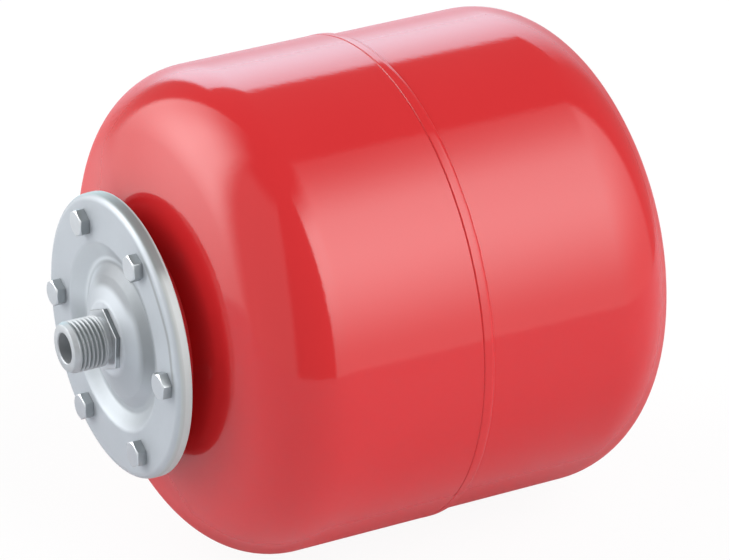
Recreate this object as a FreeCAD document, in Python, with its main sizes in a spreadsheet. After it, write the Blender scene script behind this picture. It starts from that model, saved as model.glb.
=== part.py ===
import FreeCAD, Part
import math
import os
import re

import Sketcher

# Flanged expansion tank with a replaceable rubber bladder, lying on its side.
# X runs along the axis, from the water connection to the air valve, and Z is up.
# The origin is on the axis, at the face of the hexagon collar where the thread starts.
# All lengths are millimetres. Outlines are drawn as (along the axis, out from the axis).

SIZES = (
    # Shells
    ("tank_radius", 100.0, "outside of the front shell's barrel"),
    ("shell_wall", 1.2, "drawn steel sheet"),
    ("lap_gap", 0.05, "between the shells where they overlap"),
    ("lap_length", 8.0, "how far the rear shell goes into the front one"),
    ("front_length", 102.8, "front head's crown to the front shell's edge"),
    ("rear_length", 118.0, "front shell's edge to the rear head's crown"),
    ("front_crown", 235.0, "crown radius of the front head"),
    ("front_knuckle", 33.0, "knuckle radius of the front head"),
    ("rear_crown", 152.0, "crown radius of the rear head"),
    ("rear_knuckle", 36.0, "knuckle radius of the rear head"),
    ("seam_width", 5.4, "weld bead along the lap joint"),
    ("seam_notch", 0.35, "crease between the front shell's edge and the bead"),
    ("seam_round", 4.3, "rounding of the bead"),
    # Water connection
    ("thread_radius", 10.4775, "half the major diameter of a G 1/2 thread"),
    ("thread_length", 16.4, "thread, lead and run-out in front of the collar"),
    ("lead_length", 2.0, "lead chamfer, along the axis"),
    ("lead_drop", 0.9, "lead chamfer, radially"),
    ("water_bore_radius", 6.2, "bore through the connection"),
    ("collar_flats", 24.0, "hexagon collar, across flats"),
    ("collar_thickness", 2.0, "hexagon collar, along the axis"),
    ("collar_turn", 5.0, "hexagon's turn about the axis, in degrees"),
    ("tail_radius", 9.0, "plain tail that goes through the cover"),
    ("tail_end", 0.5, "plain tail, behind its weld"),
    ("tail_gap", 0.1, "round the tail in the cover's hole"),
    ("tail_weld", 2.2, "leg of the weld behind the cover"),
    # Pressed cover
    ("cover_radius", 58.0, "outside of the turned-back rim"),
    ("cover_wall", 2.5, "pressed galvanised sheet"),
    ("cover_rise", 2.6, "centre land, in front of the bolted ring"),
    ("land_edge", 0.94, "flat land, round the collar's corners"),
    ("shoulder_drop", 3.8, "shoulder of the raised centre, behind the land"),
    ("flank_width", 4.4, "from the shoulder out to the trough's bottom"),
    ("trough_width", 2.6, "bottom of the pressed trough"),
    ("trough_wall", 6.6, "from the trough's bottom out to the bolted ring"),
    ("trough_depth", 4.0, "trough, behind the bolted ring's face"),
    ("rim_depth", 6.1, "turned-back rim, along the axis"),
    ("rim_gap", 3.5, "between the rim and the neck ring's flange"),
    ("press_round", 2.6, "rounding of the pressed corners"),
    ("rim_round", 2.9, "outer rounding of the rim's bend"),
    ("rim_edge_round", 0.4, "rounding of the rim's sheared edge"),
    # Bolts
    ("bolt_count", 6, "bolts round the cover"),
    ("bolt_radius", 3.0, "M6 shank"),
    ("bolt_hole_gap", 0.3, "round the shank in the cover"),
    ("thread_gap", 0.05, "round the shank in its tapped hole"),
    ("bolt_flats", 10.0, "head, across flats"),
    ("bolt_head", 4.0, "head, along the axis"),
    ("bolt_face_edge", 0.25, "between the head's flat face and its flats"),
    ("bolt_chamfer", 30.0, "chamfer of the head, from its flat face, in degrees"),
    ("bolt_length", 10.0, "under the head"),
    # Neck ring
    ("ring_edge", 1.95, "flange, outside its tapped holes"),
    ("ring_flange", 4.4, "flange, along the axis"),
    ("ring_wall", 4.9, "neck behind the flange, radially"),
    ("ring_length", 12.9, "neck ring, along the axis"),
    ("neck_stand", 5.1, "ring's face, in front of the head's crown"),
    ("neck_gap", 0.05, "round the neck in the shell's mouth"),
    ("neck_weld", 2.2, "leg of the weld round the neck, inside the front shell"),
    ("neck_weld_gap", 0.1, "between that weld and the shell's inner skin"),
    # Bladder
    ("lip_clear", 0.8, "between the clamped lip and the bolts' holes"),
    ("lip_width", 3.4, "clamped lip, across its flat face"),
    ("lip_inset", 0.9, "between the lip's flat face and the tank's mouth"),
    ("lip_thickness", 2.0, "clamped lip, squeezed"),
    ("lip_funnel", 1.9, "bevel inside the lip"),
    ("rubber_wall", 1.6, "bladder wall"),
    ("bladder_gap", 0.3, "round the bladder's neck in the ring"),
    ("bag_side_gap", 11.55, "between the half-filled bag and the rear shell"),
    ("bag_front_round", 26.0, "bag's front shoulder"),
    ("bag_rear_round", 60.0, "bag's rear shoulder"),
    ("bag_front_gap", 9.1, "bag's front, behind the neck ring"),
    ("bag_rear_gap", 19.9, "bag's rear, in front of the valve's boss"),
    # Air valve
    ("boss_radius", 9.0, "welded boss in the rear head"),
    ("boss_stand", 4.0, "boss, outside the head"),
    ("boss_depth", 9.0, "boss, inside the head's crown line"),
    ("boss_weld", 2.2, "leg of the weld inside the rear shell"),
    ("valve_radius", 4.0, "threaded part of the valve body"),
    ("valve_tail", 12.0, "valve body, inside the boss's face"),
    ("flange_radius", 6.2, "valve body's flange"),
    ("flange_thickness", 1.6, "valve body's flange"),
    ("stem_radius", 3.85, "stem that takes the dust cap"),
    ("stem_length", 4.0, "stem, outside the flange"),
    ("chamber_radius", 2.7, "chamber for the valve core"),
    ("chamber_depth", 11.1, "chamber, from the stem's end to the bottom of its tapered seat"),
    ("outlet_radius", 1.95, "air passage behind the core's seat"),
    ("o_ring_section", 1.6, "width of the ring's seat under the valve body's flange"),
    ("o_ring_squeezed", 1.36, "depth of the ring's seat"),
    ("rubber_gap", 0.02, "between a rubber piece and what it is squeezed in"),
    # Valve core
    ("core_gap", 0.1, "round the core barrel in its chamber"),
    ("core_length", 11.5, "core barrel"),
    ("core_sunk", 0.9, "barrel's end, inside the stem's end"),
    ("core_neck_radius", 1.7, "barrel under its gasket"),
    ("gasket_length", 1.8, "core gasket"),
    ("guide_radius", 0.85, "passage round the pin"),
    ("spring_room_radius", 1.5, "room for the spring"),
    ("spring_room_depth", 6.6, "room for the spring, from the barrel's end"),
    ("pin_radius", 0.5, "pin"),
    ("pin_sunk", 0.4, "pin's tip, inside the stem's end"),
    ("pin_collar_radius", 1.2, "pin's collar, on the spring"),
    ("pin_collar_depth", 1.4, "pin's collar, from the barrel's end"),
    ("pin_collar_thickness", 0.5, "pin's collar"),
    ("poppet_radius", 1.65, "poppet that closes the core"),
    ("poppet_thickness", 0.6, "metal poppet"),
    ("poppet_seal", 0.8, "rubber seal on the poppet"),
    ("poppet_seal_gap", 0.02, "between the seal and the barrel"),
    ("wire_radius", 0.14, "spring wire"),
    ("spring_radius", 1.05, "spring, to the middle of the wire"),
    ("spring_turns", 5, "turns of the spring"),
    # Caps
    ("dust_cap_radius", 5.3, "dust cap"),
    ("dust_cap_wall", 1.2, "top of the dust cap"),
    ("cap_thread_gap", 0.1, "round the stem in the dust cap"),
    ("cap_seal", 0.6, "seal disc in the dust cap"),
    ("cover_cap_wall", 1.4, "wall of the protective cap"),
    ("cover_cap_gap", 0.1, "round the boss in the protective cap"),
    ("cover_cap_foot", 0.6, "between the protective cap and the head"),
    ("cover_cap_round", 2.0, "edge of the protective cap's top"),
    ("cap_room", 0.6, "between the two caps"),
)
# How far each bolt's head is turned about its own axis, in degrees, as the spanner left it
BOLT_TURNS = (-4.0, 0.0, -8.0, 12.0, 0.0, -3.0)

doc = FreeCAD.newDocument("expansion_tank")
sheet = doc.addObject("Spreadsheet::Sheet", "Sizes")
for row, (alias, number, note) in enumerate(SIZES, start=1):
    sheet.set(f"A{row}", alias)
    sheet.set(f"B{row}", str(number))
    sheet.set(f"C{row}", note)
    sheet.setAlias(f"B{row}", alias)
doc.recompute()
ALIASES = {alias for alias, number, note in SIZES}

# Places that several pieces share, along the axis
COVER_SEAT = "collar_thickness"
RING_FACE = "(collar_thickness + cover_rise)"
LIP_FACE = f"({RING_FACE} + cover_wall)"
NECK_FACE = f"({LIP_FACE} + lip_thickness)"
FLANGE_BACK = f"({NECK_FACE} + ring_flange)"
NECK_BACK = f"({NECK_FACE} + ring_length)"
FRONT_APEX = f"({NECK_FACE} + neck_stand)"
SEAM = f"({FRONT_APEX} + front_length)"
REAR_APEX = f"({SEAM} + rear_length)"
BOSS_FACE = f"({REAR_APEX} + boss_stand)"
FLANGE_FACE = f"({BOSS_FACE} + flange_thickness)"
STEM_END = f"({FLANGE_FACE} + stem_length)"
CORE_END = f"({STEM_END} - core_sunk)"
CORE_TAIL = f"({CORE_END} - core_length)"
CORE_SEAT = f"({STEM_END} - chamber_depth)"
SEAT_TOP = f"({CORE_SEAT} + chamber_radius - outlet_radius)"
GASKET_TOP = f"({CORE_SEAT} + gasket_length)"
SPRING_FLOOR = f"({CORE_END} - spring_room_depth)"
PIN_COLLAR = f"({CORE_END} - pin_collar_depth)"
POPPET_FACE = f"({CORE_TAIL} - poppet_seal_gap)"
POPPET_SEAT = f"({POPPET_FACE} - poppet_seal)"
DUST_CAP_CEILING = f"({STEM_END} + cap_seal)"
DUST_CAP_TOP = f"({DUST_CAP_CEILING} + dust_cap_wall)"

# Radii that several pieces share, from the rim inwards
RIM_INSIDE = "(cover_radius - cover_wall)"
RING_RADIUS = f"({RIM_INSIDE} - rim_gap)"
BOLT_CIRCLE = f"({RING_RADIUS} - ring_edge - thread_gap - bolt_radius)"
LIP_RADIUS = f"({BOLT_CIRCLE} - bolt_radius - bolt_hole_gap - lip_clear)"
LIP_INSIDE = f"({LIP_RADIUS} - lip_width)"
MOUTH = f"({LIP_INSIDE} - lip_inset)"
NECK_RADIUS = f"({MOUTH} + ring_wall)"
TROUGH_OUTER = f"({MOUTH} - trough_wall)"
TROUGH_INNER = f"({TROUGH_OUTER} - trough_width)"
SHOULDER = f"({TROUGH_INNER} - flank_width)"
LAND = "(collar_flats / sqrt(3) + land_edge)"
REAR_RADIUS = "(tank_radius - shell_wall - lap_gap)"
BAG_RADIUS = f"({REAR_RADIUS} - shell_wall - bag_side_gap)"
CORE_RADIUS = "(chamber_radius - core_gap)"

HEXAGON_SIDES = 6
FULL_TURN = 360.0
QUARTER_TURN = 90.0
SAME_PLACE = 1e-4
nodes = []


def on_sheet(text):
    """Expression with each size written as a cell of the sheet."""
    return re.sub(r"[a-z_]+", lambda word: f"Sizes.{word[0]}" if word[0] in ALIASES else word[0], text)


def size(text):
    """Number that an expression gives."""
    return float(sheet.evalExpression(on_sheet(text)))


def bind(feature, **expressions):
    """Bind properties of a feature to expressions."""
    for name, text in expressions.items():
        feature.setExpression(name.replace("__", "."), on_sheet(text))


def body(label):
    """New body for one piece."""
    piece = doc.addObject("PartDesign::Body", label)
    piece.Label = label
    nodes.append(piece)
    return piece


def origin(piece, role):
    """Plane or axis of a body's own origin."""
    return next(item for item in piece.Origin.OriginFeatures if item.Role == role)


def new_sketch(piece, name, plane="XY_Plane"):
    """Sketch on one of the body's origin planes."""
    sketch = piece.newObject("Sketcher::SketchObject", name)
    sketch.AttachmentSupport = (origin(piece, plane), [""])
    sketch.MapMode = "FlatFace"
    return sketch


def fix_point(sketch, side, end, along, out):
    """Hold one end of a side at a place given by two expressions."""
    for kind, text in (("DistanceX", along), ("DistanceY", out)):
        index = sketch.addConstraint(Sketcher.Constraint(kind, -1, 1, side, end, size(text)))
        name = f"{kind}_{side}"
        sketch.renameConstraint(index, name)
        sketch.setExpression(f"Constraints.{name}", on_sheet(text))


def arc_between(start, stop, radius, bulge):
    """Arc from start to stop, whose centre lies to the left of the way there if bulge is 1."""
    chord = stop - start
    middle = (start + stop) / 2
    rise = math.sqrt(radius ** 2 - (chord.Length / 2) ** 2)
    left = FreeCAD.Vector(-chord.y, chord.x, 0).normalize()
    centre = middle + left * rise * bulge
    first, last = (start, stop) if bulge > 0 else (stop, start)
    angles = [math.atan2(point.y - centre.y, point.x - centre.x) for point in (first, last)]
    circle = Part.Circle(centre, FreeCAD.Vector(0, 0, 1), radius)
    return Part.ArcOfCircle(circle, angles[0], angles[1])


def outline(piece, name, corners):
    """Closed sketch through the corners, each (along, out) or (along, out, radius, bulge).

    The last two bend the side from that corner to the next one into an arc.
    """
    sketch = new_sketch(piece, name)
    points = [FreeCAD.Vector(size(corner[0]), size(corner[1]), 0) for corner in corners]
    starts = []
    for side, corner in enumerate(corners):
        start = points[side]
        stop = points[(side + 1) % len(points)]
        if len(corner) == 2:
            sketch.addGeometry(Part.LineSegment(start, stop))
            starts.append(1)
        else:
            sketch.addGeometry(arc_between(start, stop, size(corner[2]), corner[3]))
            starts.append(1 if corner[3] > 0 else 2)
    for side, start in enumerate(starts):
        previous = side - 1 if side else len(starts) - 1
        previous_end = 3 - starts[previous]
        sketch.addConstraint(Sketcher.Constraint("Coincident", previous, previous_end, side, start))
        fix_point(sketch, side, start, corners[side][0], corners[side][1])
    for side, corner in enumerate(corners):
        if len(corner) == 4:
            index = sketch.addConstraint(Sketcher.Constraint("Radius", side, size(corner[2])))
            sketch.renameConstraint(index, f"Radius_{side}")
            sketch.setExpression(f"Constraints.Radius_{side}", on_sheet(corner[2]))
    return sketch


def turned(piece, corners, name="Turned"):
    """Solid of revolution about the X axis from an outline."""
    sketch = outline(piece, f"{name}Outline", corners)
    feature = piece.newObject("PartDesign::Revolution", name)
    feature.Profile = sketch
    feature.ReferenceAxis = (sketch, ["H_Axis"])
    feature.Angle = FULL_TURN
    doc.recompute()
    return feature


def rims(feature, *places):
    """Names of a solid's circular edges at the given (along, out) places."""
    found = []
    for index, edge in enumerate(feature.Shape.Edges, start=1):
        if not isinstance(edge.Curve, Part.Circle):
            continue
        for along, out in places:
            near_x = abs(edge.Curve.Center.x - size(along)) < SAME_PLACE
            near_r = abs(edge.Curve.Radius - size(out)) < SAME_PLACE
            on_axis = math.hypot(edge.Curve.Center.y, edge.Curve.Center.z) < SAME_PLACE
            if near_x and near_r and on_axis:
                found.append(f"Edge{index}")
    return found


def rounded(piece, feature, radius, *places):
    """Fillet on the circular edges at the given places."""
    fillet = piece.newObject("PartDesign::Fillet", f"Round{len(piece.Group)}")
    fillet.Base = (feature, rims(feature, *places))
    fillet.Radius = size(radius)
    bind(fillet, Radius=radius)
    doc.recompute()
    return fillet


def circle_sketch(piece, name, out, radius, along):
    """Circle of a hole that runs along the axis, at the place where it starts."""
    sketch = new_sketch(piece, name, "YZ_Plane")
    sketch.AttachmentOffset = FreeCAD.Placement(FreeCAD.Vector(0, 0, size(along)), FreeCAD.Rotation())
    bind(sketch, AttachmentOffset__Base__z=along)
    centre = FreeCAD.Vector(size(out), 0, 0)
    sketch.addGeometry(Part.Circle(centre, FreeCAD.Vector(0, 0, 1), size(radius)))
    index = sketch.addConstraint(Sketcher.Constraint("Radius", 0, size(radius)))
    sketch.renameConstraint(index, "HoleRadius")
    sketch.setExpression("Constraints.HoleRadius", on_sheet(radius))
    index = sketch.addConstraint(Sketcher.Constraint("DistanceX", -1, 1, 0, 3, size(out)))
    sketch.renameConstraint(index, "HoleOut")
    sketch.setExpression("Constraints.HoleOut", on_sheet(out))
    sketch.addConstraint(Sketcher.Constraint("PointOnObject", 0, 3, -1))
    return sketch


def bolt_holes(piece, radius, along, depth):
    """Ring of holes on the bolt circle, cut from a place along the axis."""
    sketch = circle_sketch(piece, "HoleCircle", BOLT_CIRCLE, radius, along)
    before = piece.Shape.Volume
    pocket = piece.newObject("PartDesign::Pocket", "Hole")
    pocket.Profile = sketch
    pocket.Type = 0
    pocket.Reversed = True
    pocket.Length = size(depth)
    bind(pocket, Length=depth)
    doc.recompute()
    pattern = piece.newObject("PartDesign::PolarPattern", "HoleRing")
    pattern.Originals = [pocket]
    pattern.Axis = (origin(piece, "X_Axis"), [""])
    pattern.Angle = FULL_TURN
    bind(pattern, Occurrences="bolt_count")
    piece.Tip = pattern
    doc.recompute()
    if piece.Shape.Volume >= before:
        raise ValueError(f"{piece.Label}: the bolt holes cut nothing")


def crown_x(apex, crown, out, way, skin="0"):
    """Place of a head's crown skin at a distance out from the axis."""
    return f"({apex} + {way} * ({crown} - sqrt(({crown} - {skin})^2 - ({out})^2)))"


def head(apex, crown, knuckle, radius, way, skin="0"):
    """Two ends of a head's knuckle arc, as expressions, on the outer skin or one inside it."""
    span = f"({crown} - {knuckle})"
    across = f"({radius} - {knuckle})"
    back = f"sqrt({span}^2 - {across}^2)"
    share = f"(({crown} - {skin}) / {span})"
    crown_end = (f"{apex} + {way} * ({crown} - {share} * {back})", f"{share} * {across}")
    barrel_end = (f"{apex} + {way} * ({crown} - {back})", f"{radius} - {skin}")
    return crown_end, barrel_end


def front_shell():
    """Drawn cup with a mouth for the neck ring and an edge that laps over the rear shell."""
    mouth = f"({NECK_RADIUS} + neck_gap)"
    form = (FRONT_APEX, "front_crown", "front_knuckle", "tank_radius", 1)
    outer_crown, outer_barrel = head(*form)
    inner_crown, inner_barrel = head(*form, "shell_wall")
    turned(body("front_shell"), [
        (crown_x(FRONT_APEX, "front_crown", mouth, 1), mouth, "front_crown", -1),
        (*outer_crown, "front_knuckle", -1),
        outer_barrel,
        (SEAM, "tank_radius"),
        (SEAM, "tank_radius - shell_wall"),
        (*inner_barrel, "front_knuckle - shell_wall", 1),
        (*inner_crown, "front_crown - shell_wall", 1),
        (crown_x(FRONT_APEX, "front_crown", mouth, 1, "shell_wall"), mouth),
    ])


def rear_shell():
    """Drawn cup that slides into the front shell, with a hole for the valve boss."""
    form = (REAR_APEX, "rear_crown", "rear_knuckle", REAR_RADIUS, -1)
    outer_crown, outer_barrel = head(*form)
    inner_crown, inner_barrel = head(*form, "shell_wall")
    hole = "(boss_radius + neck_gap)"
    turned(body("rear_shell"), [
        (f"{SEAM} - lap_length", REAR_RADIUS),
        (*outer_barrel, "rear_knuckle", -1),
        (*outer_crown, "rear_crown", -1),
        (crown_x(REAR_APEX, "rear_crown", hole, -1), hole),
        (crown_x(REAR_APEX, "rear_crown", hole, -1, "shell_wall"), hole, "rear_crown - shell_wall", 1),
        (*inner_crown, "rear_knuckle - shell_wall", 1),
        inner_barrel,
        (f"{SEAM} - lap_length", f"{REAR_RADIUS} - shell_wall"),
    ])


def seam_weld():
    """Bead in the corner between the front shell's edge and the rear shell."""
    turned(body("seam_weld"), [
        (SEAM, REAR_RADIUS),
        (SEAM, "tank_radius - seam_notch", "seam_round", -1),
        (f"{SEAM} + seam_width", REAR_RADIUS),
    ])


def neck_ring():
    """Turned ring in the tank's mouth: a neck, and a flange with tapped holes for the cover's bolts."""
    piece = body("neck_ring")
    ring = turned(piece, [
        (NECK_FACE, MOUTH),
        (NECK_FACE, RING_RADIUS),
        (FLANGE_BACK, RING_RADIUS),
        (FLANGE_BACK, NECK_RADIUS),
        (NECK_BACK, NECK_RADIUS),
        (NECK_BACK, MOUTH),
    ])
    edges = ((NECK_FACE, RING_RADIUS), (FLANGE_BACK, RING_RADIUS), (NECK_BACK, MOUTH))
    rounded(piece, ring, "rim_edge_round", *edges)
    bolt_holes(piece, "bolt_radius + thread_gap", NECK_FACE, "ring_flange")


def neck_weld():
    """Fillet weld round the neck ring, inside the front shell."""
    outer = f"({NECK_RADIUS} + neck_weld)"
    skin = "(shell_wall + neck_weld_gap)"
    root = crown_x(FRONT_APEX, "front_crown", NECK_RADIUS, 1, skin)
    turned(body("neck_weld"), [
        (root, NECK_RADIUS, f"front_crown - {skin}", -1),
        (crown_x(FRONT_APEX, "front_crown", outer, 1, skin), outer),
        (f"{root} + neck_weld", NECK_RADIUS),
    ])


def flange_cover():
    """Pressed cover: raised centre, trough, flat bolted ring and turned-back rim."""
    piece = body("flange_cover")
    hole = "(tail_radius + tail_gap)"
    steps = (
        (COVER_SEAT, LAND),
        (f"({COVER_SEAT} + shoulder_drop)", SHOULDER),
        (f"({RING_FACE} + trough_depth)", TROUGH_INNER),
        (f"({RING_FACE} + trough_depth)", TROUGH_OUTER),
        (RING_FACE, MOUTH),
    )
    backs = tuple((f"({along} + cover_wall)", out) for along, out in steps)
    rim_end = f"({RING_FACE} + rim_depth)"
    pressed = turned(piece, [
        (COVER_SEAT, hole),
        *steps,
        (RING_FACE, "cover_radius"),
        (rim_end, "cover_radius"),
        (rim_end, RIM_INSIDE),
        (LIP_FACE, RIM_INSIDE),
        *reversed(backs),
        (f"{COVER_SEAT} + cover_wall", hole),
    ])
    soft = rounded(piece, pressed, "press_round", *steps, *backs)
    bent = rounded(piece, soft, "rim_round", (RING_FACE, "cover_radius"))
    edges = ((rim_end, "cover_radius"), (rim_end, RIM_INSIDE), (LIP_FACE, RIM_INSIDE))
    rounded(piece, bent, "rim_edge_round", *edges)
    bolt_holes(piece, "bolt_radius + bolt_hole_gap", RING_FACE, "cover_wall")


def connection_nipple():
    """Turned nipple: threaded spigot, hexagon collar, tail through the cover and water bore."""
    piece = body("connection_nipple")
    tail_end = f"({COVER_SEAT} + cover_wall + tail_weld + tail_end)"
    turned(piece, [
        ("-thread_length", "water_bore_radius"),
        ("-thread_length", "thread_radius - lead_drop"),
        ("lead_length - thread_length", "thread_radius"),
        ("0", "thread_radius"),
        ("0", "collar_flats / 2"),
        (COVER_SEAT, "collar_flats / 2"),
        (COVER_SEAT, "tail_radius"),
        (tail_end, "tail_radius"),
        (tail_end, "water_bore_radius"),
    ])
    sketch = new_sketch(piece, "CollarHexagon", "YZ_Plane")
    corner = "collar_flats / sqrt(3)"
    points = []
    for step in range(HEXAGON_SIDES):
        turn = 2 * math.pi * (step + 0.5) / HEXAGON_SIDES
        points.append(FreeCAD.Vector(math.cos(turn), math.sin(turn), 0) * size(corner))
    for step in range(HEXAGON_SIDES):
        sketch.addGeometry(Part.LineSegment(points[step], points[(step + 1) % HEXAGON_SIDES]))
    around = HEXAGON_SIDES
    sketch.addGeometry(Part.Circle(FreeCAD.Vector(), FreeCAD.Vector(0, 0, 1), size(corner)), True)
    turn_offset = FreeCAD.Rotation(FreeCAD.Vector(0, 0, 1), size("collar_turn"))
    sketch.AttachmentOffset = FreeCAD.Placement(FreeCAD.Vector(), turn_offset)
    bind(sketch, AttachmentOffset__Rotation__Angle="collar_turn")
    for step in range(HEXAGON_SIDES):
        sketch.addConstraint(Sketcher.Constraint("Coincident", step, 2, (step + 1) % HEXAGON_SIDES, 1))
        sketch.addConstraint(Sketcher.Constraint("PointOnObject", step, 1, around))
    for step in range(1, HEXAGON_SIDES):
        sketch.addConstraint(Sketcher.Constraint("Equal", 0, step))
    sketch.addConstraint(Sketcher.Constraint("Coincident", around, 3, -1, 1))
    sketch.addConstraint(Sketcher.Constraint("Vertical", HEXAGON_SIDES - 1))
    index = sketch.addConstraint(Sketcher.Constraint("Radius", around, size(corner)))
    sketch.renameConstraint(index, "Corner")
    sketch.setExpression("Constraints.Corner", on_sheet(corner))
    tail = Part.Circle(FreeCAD.Vector(), FreeCAD.Vector(0, 0, 1), size("tail_radius"))
    inside = sketch.addGeometry(tail)
    sketch.addConstraint(Sketcher.Constraint("Coincident", inside, 3, -1, 1))
    index = sketch.addConstraint(Sketcher.Constraint("Radius", inside, size("tail_radius")))
    sketch.renameConstraint(index, "Inside")
    sketch.setExpression("Constraints.Inside", on_sheet("tail_radius"))
    pad = piece.newObject("PartDesign::Pad", "Collar")
    pad.Profile = sketch
    pad.Length = size("collar_thickness")
    bind(pad, Length="collar_thickness")
    doc.recompute()


def nipple_weld():
    """Fillet weld round the nipple's tail, behind the cover."""
    back = f"({COVER_SEAT} + cover_wall)"
    turned(body("nipple_weld"), [
        (back, "tail_radius"),
        (back, "tail_radius + tail_weld"),
        (f"{back} + tail_weld", "tail_radius"),
    ])


def flange_bolts():
    """Hexagon bolts round the cover, each a solid of its own."""
    bolts = []
    for index in range(int(size("bolt_count"))):
        angle = f"{FULL_TURN * index / size('bolt_count')} deg"
        turn = BOLT_TURNS[index % len(BOLT_TURNS)]
        hexagon = doc.addObject("Part::Prism", f"HeadHexagon{index}")
        hexagon.Polygon = HEXAGON_SIDES
        bind(hexagon, Circumradius="bolt_flats / sqrt(3)", Height="bolt_head")
        cone = doc.addObject("Part::Cone", f"HeadChamfer{index}")
        face_radius = "bolt_flats / 2 - bolt_face_edge"
        bind(cone, Radius1=f"{face_radius} + bolt_head / tan(bolt_chamfer * 1 deg)",
             Radius2=face_radius, Height="bolt_head")
        head_shape = doc.addObject("Part::Common", f"Head{index}")
        head_shape.Base = hexagon
        head_shape.Tool = cone
        shank = doc.addObject("Part::Cylinder", f"Shank{index}")
        bind(shank, Radius="bolt_radius", Height="bolt_length", Placement__Base__z="-bolt_length")
        bolt = doc.addObject("Part::Fuse", f"Bolt{index}")
        bolt.Base = head_shape
        bolt.Tool = shank
        facing = FreeCAD.Rotation(FreeCAD.Vector(0, 1, 0), -QUARTER_TURN)
        spin = FreeCAD.Rotation(FreeCAD.Vector(1, 0, 0), turn)
        bolt.Placement = FreeCAD.Placement(FreeCAD.Vector(), spin * facing)
        bind(bolt, Placement__Base__x=RING_FACE,
             Placement__Base__y=f"{BOLT_CIRCLE} * cos({angle})",
             Placement__Base__z=f"{BOLT_CIRCLE} * sin({angle})")
        bolts.append(bolt)
    group = doc.addObject("Part::Compound", "flange_bolts")
    group.Label = "flange_bolts"
    group.Links = bolts
    nodes.append(group)


def bladder():
    """Rubber bag with a clamped lip, a neck through the ring and a rounded, half-filled bag."""
    neck = f"({MOUTH} - bladder_gap)"
    front = f"({NECK_BACK} + bag_front_gap)"
    rear = f"({REAR_APEX} - boss_depth - bag_rear_gap)"

    def skin(depth):
        """Outline of the bag from its neck to the axis, one skin depth inside its outside."""
        side = f"({BAG_RADIUS} - {depth})"
        front_middle = f"({BAG_RADIUS} - bag_front_round)"
        rear_middle = f"({BAG_RADIUS} - bag_rear_round)"
        return [
            (f"{NECK_BACK} + {depth}", f"{neck} - {depth}"),
            (f"{front} + {depth}", front_middle, f"bag_front_round - {depth}", -1),
            (f"{front} + bag_front_round", side),
            (f"{rear} - bag_rear_round", side, f"bag_rear_round - {depth}", -1),
            (f"{rear} - {depth}", rear_middle),
            (f"{rear} - {depth}", "0"),
        ]

    outer = skin("0")
    inner = skin("rubber_wall")
    inner_back = [
        inner[5],
        (inner[4][0], inner[4][1], inner[3][2], 1),
        (inner[3][0], inner[3][1]),
        (inner[2][0], inner[2][1], inner[1][2], 1),
        (inner[1][0], inner[1][1]),
        inner[0],
    ]
    turned(body("bladder"), [
        (LIP_FACE, LIP_INSIDE),
        (LIP_FACE, LIP_RADIUS),
        (NECK_FACE, LIP_RADIUS),
        (NECK_FACE, neck),
        *outer,
        *inner_back,
        (f"{LIP_FACE} + lip_funnel", f"{neck} - rubber_wall"),
    ])


def valve_bushing():
    """Boss welded into the rear head, bored for the valve body, with a seat for its ring."""
    turned(body("valve_bushing"), [
        (f"{REAR_APEX} - boss_depth", "valve_radius + thread_gap"),
        (f"{REAR_APEX} - boss_depth", "boss_radius"),
        (BOSS_FACE, "boss_radius"),
        (BOSS_FACE, "valve_radius + thread_gap + o_ring_section"),
        (f"{BOSS_FACE} - o_ring_squeezed", "valve_radius + thread_gap + o_ring_section"),
        (f"{BOSS_FACE} - o_ring_squeezed", "valve_radius + thread_gap"),
    ])


def bushing_weld():
    """Fillet weld round the boss, inside the rear shell."""
    outer = "(boss_radius + boss_weld)"
    inner_skin = crown_x(REAR_APEX, "rear_crown", "boss_radius", -1, "shell_wall")
    turned(body("bushing_weld"), [
        (f"{inner_skin} - boss_weld", "boss_radius"),
        (crown_x(REAR_APEX, "rear_crown", outer, -1, "shell_wall"), outer, "rear_crown - shell_wall", 1),
        (inner_skin, "boss_radius"),
    ])


def valve_body():
    """Brass valve body: threaded tail, flange and stem, bored for the core."""
    turned(body("valve_body"), [
        (f"{BOSS_FACE} - valve_tail", "outlet_radius"),
        (f"{BOSS_FACE} - valve_tail", "valve_radius"),
        (BOSS_FACE, "valve_radius"),
        (BOSS_FACE, "flange_radius"),
        (FLANGE_FACE, "flange_radius"),
        (FLANGE_FACE, "stem_radius"),
        (STEM_END, "stem_radius"),
        (STEM_END, "chamber_radius"),
        (SEAT_TOP, "chamber_radius"),
        (CORE_SEAT, "outlet_radius"),
    ])


def valve_o_ring():
    """Rubber ring squeezed into the boss under the valve body's flange."""
    piece = doc.addObject("Part::Torus", "valve_o_ring")
    piece.Label = "valve_o_ring"
    facing = FreeCAD.Rotation(FreeCAD.Vector(0, 1, 0), QUARTER_TURN)
    piece.Placement = FreeCAD.Placement(FreeCAD.Vector(), facing)
    bind(piece, Radius1="valve_radius + thread_gap + o_ring_section / 2",
         Radius2="o_ring_squeezed / 2 - rubber_gap",
         Placement__Base__x=f"{BOSS_FACE} - o_ring_squeezed / 2")
    nodes.append(piece)


def valve_core_barrel():
    """Screwed barrel of the valve core, with room for the spring and a guide for the pin."""
    turned(body("valve_core_barrel"), [
        (CORE_TAIL, "guide_radius"),
        (CORE_TAIL, "core_neck_radius"),
        (GASKET_TOP, "core_neck_radius"),
        (GASKET_TOP, CORE_RADIUS),
        (CORE_END, CORE_RADIUS),
        (CORE_END, "spring_room_radius"),
        (SPRING_FLOOR, "spring_room_radius"),
        (SPRING_FLOOR, "guide_radius"),
    ])


def valve_core_gasket():
    """Tapered rubber ring between the core's barrel and its seat in the valve body."""
    turned(body("valve_core_gasket"), [
        (CORE_SEAT, "core_neck_radius"),
        (CORE_SEAT, "outlet_radius - rubber_gap"),
        (SEAT_TOP, "chamber_radius - rubber_gap"),
        (GASKET_TOP, CORE_RADIUS),
        (GASKET_TOP, "core_neck_radius"),
    ])


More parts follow.
